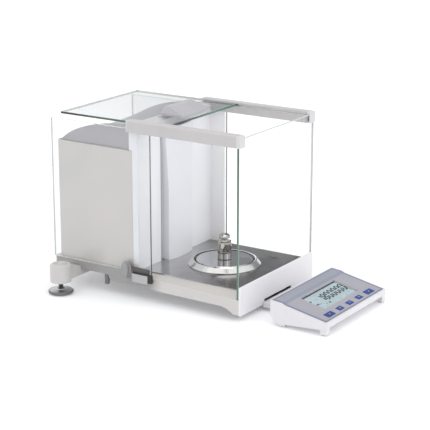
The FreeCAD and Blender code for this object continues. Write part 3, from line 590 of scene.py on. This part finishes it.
def foot_screw(side):
    """Knurled disc with a ground top, threaded stem and a stepped cap in the housing. Profiles are
    (radius, height) pairs in mm, upward from the foot's lowest point or down from its highest."""
    node = side + "_foot_screw"
    low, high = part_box(node)
    centre = (low + high) / 2
    edge = (high.x - low.x) / 2 / MM
    disc = [(edge - 1.1, 0), (edge - 0.2, 0.9), (edge, 1.4), (edge, 3.0), (edge - 1.3, 4.1),
            (edge - 2.0, 4.2), (edge - 2.6, 3.9), (9.0, 4.6), (7.2, 5.0), (6.0, 6.6), (3.4, 7.0)]
    rim_rings, knurl_depth, knurl_steps = (2, 3), 0.35 * MM, 144
    stem_start, cap_height, half_pitch = disc[-1][1], 3.4, 0.55
    crest, root = 3.9, 3.45
    cap = [(9.2, -3.0), (9.2, -1.2), (8.5, -0.5), (7.2, -0.5), (6.8, -1.1), (4.6, -1.1),
           (4.2, -0.3), (3.8, 0)]
    turns = int((high.z - low.z - (stem_start + cap_height) * MM) / (half_pitch * MM))
    thread = [(crest if turn % 2 else root, stem_start + turn * half_pitch)
              for turn in range(turns)]

    def heights(profile, base):
        return [(radius * MM, base + rise * MM) for radius, rise in profile]

    def knurl(step, ring):
        return -knurl_depth * (step % 2) if ring in rim_rings else 0

    work = bmesh.new()
    revolve(work, centre, heights(disc, low.z), knurl_steps, knurl)
    revolve(work, centre, heights(thread, low.z), 40)
    revolve(work, centre, heights(cap, high.z), 72)
    zinc, cap_plastic, painted_shade_index = 0, 1, 2
    for face in work.faces:
        middle = face.calc_center_median()
        reach = math.hypot(middle.x - centre.x, middle.y - centre.y) / MM
        face.material_index = zinc
        if middle.z > high.z - 3.2 * MM:
            face.material_index = cap_plastic
        # painted shade: the knurled rim and the ring round the stem are darker zinc
        elif reach > edge - 1.0 or reach < 6.5:
            face.material_index = painted_shade_index
    mesh = mesh_of(node + "_detail", work)
    finishes = (ZINC, PLASTIC_WHITE, ZINC_SHADE)
    detail = piece(node + "_detail", mesh, side + "_screw", "zinc_steel", *finishes)
    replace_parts(detail, node)


foot_screw("left")
foot_screw("right")


# ---- console: a frame of axes on its sloping face ----
PRESS = Vector(JOINTS["key_tare_press"]["axis"])
FACE_UP = -PRESS
FACE_DOWN = Vector((0, -FACE_UP.z, FACE_UP.y))


def face_span(node):
    """Lowest and highest coordinates of a node along x, down the slope and out of the slope."""
    points = [(v.co.x, v.co.dot(FACE_DOWN), v.co.dot(FACE_UP)) for v in NODES[node].data.vertices]
    return [min(axis) for axis in zip(*points)], [max(axis) for axis in zip(*points)]


def face_point(x, down, out):
    return Vector((x, 0, 0)) + FACE_DOWN * down + FACE_UP * out


# How far out of the slope the printed sheet's surface is, beside the keys
KEYS_START = face_span("key_tare")[0][1]
SHEET_OUT = max(v.co.dot(FACE_UP) for v in NODES["display_sheet"].data.vertices
                if v.co.dot(FACE_DOWN) > KEYS_START)
SEGMENTS = {"0": "abcdef", "1": "bc", "8": "abcdefg"}


def segment_shapes(width, height, thick):
    """Outlines of the seven segments of a digit whose lower left corner is at 0, 0; thick is the
    width of a stroke."""
    half = height / 2
    t = thick / 2
    gap = thick * 0.16

    def bar(x0, y0, x1, y1):
        along = Vector((x1 - x0, y1 - y0)).normalized()
        across = Vector((-along.y, along.x))
        start = Vector((x0, y0)) + along * gap
        end = Vector((x1, y1)) - along * gap
        return [start, start + (along + across) * t, end + (across - along) * t, end,
                end - (along + across) * t, start + (along - across) * t]

    return {"a": bar(0, height, width, height), "g": bar(0, half, width, half),
            "d": bar(0, 0, width, 0), "f": bar(0, half, 0, height),
            "b": bar(width, half, width, height), "e": bar(0, 0, 0, half),
            "c": bar(width, 0, width, half)}


def add_plate(work, points, out, depth):
    """Flat plate on the sloping face; points are x and distance down the slope."""
    bottom = [work.verts.new(face_point(x, down, out)) for x, down in points]
    top = [work.verts.new(face_point(x, down, out + depth)) for x, down in points]
    count = len(points)
    work.faces.new(top)
    work.faces.new(bottom[::-1])
    for i in range(count):
        j = (i + 1) % count
        work.faces.new((bottom[i], bottom[j], top[j], top[i]))


def ring_points(x, down, radius, count=20):
    angles = [2 * math.pi * i / count for i in range(count)]
    return [(x + radius * math.cos(angle), down - radius * math.sin(angle)) for angle in angles]


def key_frames():
    """Pale printed outline round each key and the raised mark in its middle."""
    outer, inner, thick = 1.1 * MM, 0.35 * MM, 0.12 * MM
    mark_radius, mark_sink, mark_thick = 1.3 * MM, 0.02 * MM, 0.14 * MM
    surround = bmesh.new()
    for key in ("power", "mode", "calibrate", "print", "tare"):
        (x0, s0, _), (x1, s1, top) = face_span("key_" + key)
        bars = [(x0 - outer, x1 + outer, s0 - outer, s0 - inner),
                (x0 - outer, x1 + outer, s1 + inner, s1 + outer),
                (x0 - outer, x0 - inner, s0 - outer, s1 + outer),
                (x1 + inner, x1 + outer, s0 - outer, s1 + outer)]
        for a0, a1, b0, b1 in bars:
            add_plate(surround, [(a0, b0), (a0, b1), (a1, b1), (a1, b0)], SHEET_OUT, thick)
        mark = bmesh.new()
        dot = ring_points((x0 + x1) / 2, (s0 + s1) / 2, mark_radius)
        add_plate(mark, dot, top - mark_sink, mark_thick)
        turn_outward(mark)
        name = "key_" + key + "_mark"
        piece(name, mesh_of(name, mark), "key_" + key, "key_blue", KEY_FRAME)
    turn_outward(surround)
    piece("key_frames", mesh_of("key_frames", surround), "frame", "printed_sheet", KEY_FRAME)


def display_digits():
    """Reading and small status marks of the display, raised a hair above it."""
    reading, decimal_place = "1800000", 2
    wide, tall, stroke, pitch, slant = 6.6 * MM, 17.0 * MM, 2.9 * MM, 10.9 * MM, 0.06
    point_gap, point_radius = 1.6 * MM, 0.8 * MM
    reading_centre, reading_rise = 16 * MM, 3.0 * MM
    top = face_span("display_lcd")[1][2]
    out, depth = top + 0.03 * MM, 0.06 * MM
    window_low, window_high = face_span("display_window")
    middle = (window_low[1] + window_high[1]) / 2 - reading_rise
    base = middle + tall / 2
    work = bmesh.new()
    x = reading_centre - pitch * len(reading) / 2
    shapes = segment_shapes(wide, tall, stroke)
    for place, digit in enumerate(reading):
        for key in SEGMENTS[digit]:
            outline = [(x + p.x + p.y * slant, base - p.y) for p in shapes[key]]
            add_plate(work, outline[::-1], out, depth)
        if place == decimal_place:
            point = ring_points(x + wide + point_gap, base, point_radius, 12)
            add_plate(work, point, out, depth)
        x += pitch
    # Status marks in mm, from the middle of the slope's x and of the reading
    for x, down, radius in ((-44, -4.0, 1.8), (-36, 10.0, 1.2), (-26, 14.0, 1.0)):
        add_plate(work, ring_points(x * MM, middle + down * MM, radius * MM), out, depth)
    tall = 3.2
    for x, down, width in ((-46, 6.0, 1.4), (-43, 6.0, 4.0), (-20, 13.4, 4.0)):
        box = [(x, down), (x, down + tall), (x + width, down + tall), (x + width, down)]
        add_plate(work, [(a * MM, middle + b * MM) for a, b in box], out, depth)
    turn_outward(work)
    piece("display_digits", mesh_of("display_digits", work), "frame", "black_plastic", INK)


display_digits()
key_frames()


# ---- floor, light and camera ----
def studio_floor():
    half_size = 14.0
    work = bmesh.new()
    bmesh.ops.create_grid(work, x_segments=8, y_segments=8, size=half_size)
    floor = bpy.data.objects.new("studio_floor", mesh_of("studio_floor", work))
    bpy.context.scene.collection.objects.link(floor)
    n = Nodes("studio_floor")
    n.colour(n.mix(n.noise(0.8), (0.86, 0.865, 0.875), (0.88, 0.885, 0.895)))
    n.rough(n.span(n.noise(3.0), 0, 1, 0.75, 0.85))
    n.set(Specular_IOR_Level=0.2, Emission_Color=(0.95, 0.97, 1.0, 1.0), Emission_Strength=0.15)
    floor.data.materials.append(n.material)


def lamp(name, place, aim, size, power, colour):
    """Round area lamp at place that points at aim; size in metres, power in watts."""
    data = bpy.data.lights.new(name, "AREA")
    data.shape, data.size, data.energy, data.color = "DISK", size, power, colour
    item = bpy.data.objects.new(name, data)
    bpy.context.scene.collection.objects.link(item)
    item.location = place
    item.rotation_mode = "QUATERNION"
    item.rotation_quaternion = (Vector(aim) - Vector(place)).to_track_quat("-Z", "Y")


def studio_world():
    """White to the camera. What the metal and the glass mirror is a bright room with two soft dark
    parts near the horizon: one beyond the right-hand side and a narrow one in front."""
    seen = (1.6, 1.6, 1.6)
    horizon, ceiling, dark = (1.13, 1.13, 1.132), (1.20, 1.20, 1.203), (0.10, 0.10, 0.11)
    ceiling_height = 0.8
    # Heading and half width in degrees, lower and upper height as shares of 1, and strength
    dark_parts = ((6, 28, 0.10, 0.60, 0.80), (-160, 9, -0.05, 0.5, 0.72))
    soft_side, soft_below, soft_above = 8, 0.1, 0.2
    world = bpy.data.worlds.new("studio")
    bpy.context.scene.world = world
    n = Nodes("studio", world)
    x, y, z = n.parts()
    room = n.mix(n.span(z, 0.0, ceiling_height, 0.0, 1.0), horizon, ceiling)
    azimuth = n.math("ARCTAN2", y, x)
    for heading, half, low, high, strength in dark_parts:
        aside = n.math("ABSOLUTE", n.math("SUBTRACT", azimuth, math.radians(heading)))
        across = n.span(aside, math.radians(half), math.radians(half + soft_side), 1.0, 0.0)
        above = n.span(z, low, low + soft_below, 0.0, 1.0)
        below = n.span(z, high, high + soft_above, 1.0, 0.0)
        room = n.mix(n.product(across, above, below, strength), room, dark)
    path = n.new("ShaderNodeLightPath")
    n.link(n.mix(path.outputs["Is Camera Ray"], room, seen), n.shader.inputs["Color"])
    n.set(Strength=1.0)


def camera():
    """Long lens from the front left and a little above. The heading turns from the y axis, and
    minus is towards plus x; the tilt is downward."""
    place = (-1.906, -1.236, 0.774)
    heading, tilt, lens = math.radians(-56.85), math.radians(15.96), 125.5
    data = bpy.data.cameras.new("camera")
    item = bpy.data.objects.new("camera", data)
    bpy.context.scene.collection.objects.link(item)
    flat = math.cos(tilt)
    look = Vector((-math.sin(heading) * flat, math.cos(heading) * flat, -math.sin(tilt)))
    item.location = place
    item.rotation_mode = "QUATERNION"
    item.rotation_quaternion = look.to_track_quat("-Z", "Y")
    data.lens, data.sensor_width = lens, 36.0
    data.clip_start, data.clip_end = 0.05, 60.0
    bpy.context.scene.camera = item


studio_floor()
studio_world()
lamp("overhead", place=(0.3, 0.2, 2.4), aim=(0, 0, 0.1), size=1.6, power=7,
     colour=(1.0, 0.995, 0.99))
lamp("front_fill", place=(-0.3, -2.4, 1.2), aim=(0, 0, 0.12), size=1.4, power=4,
     colour=(1.0, 1.0, 1.0))
camera()
bpy.context.scene.view_settings.view_transform = "Standard"
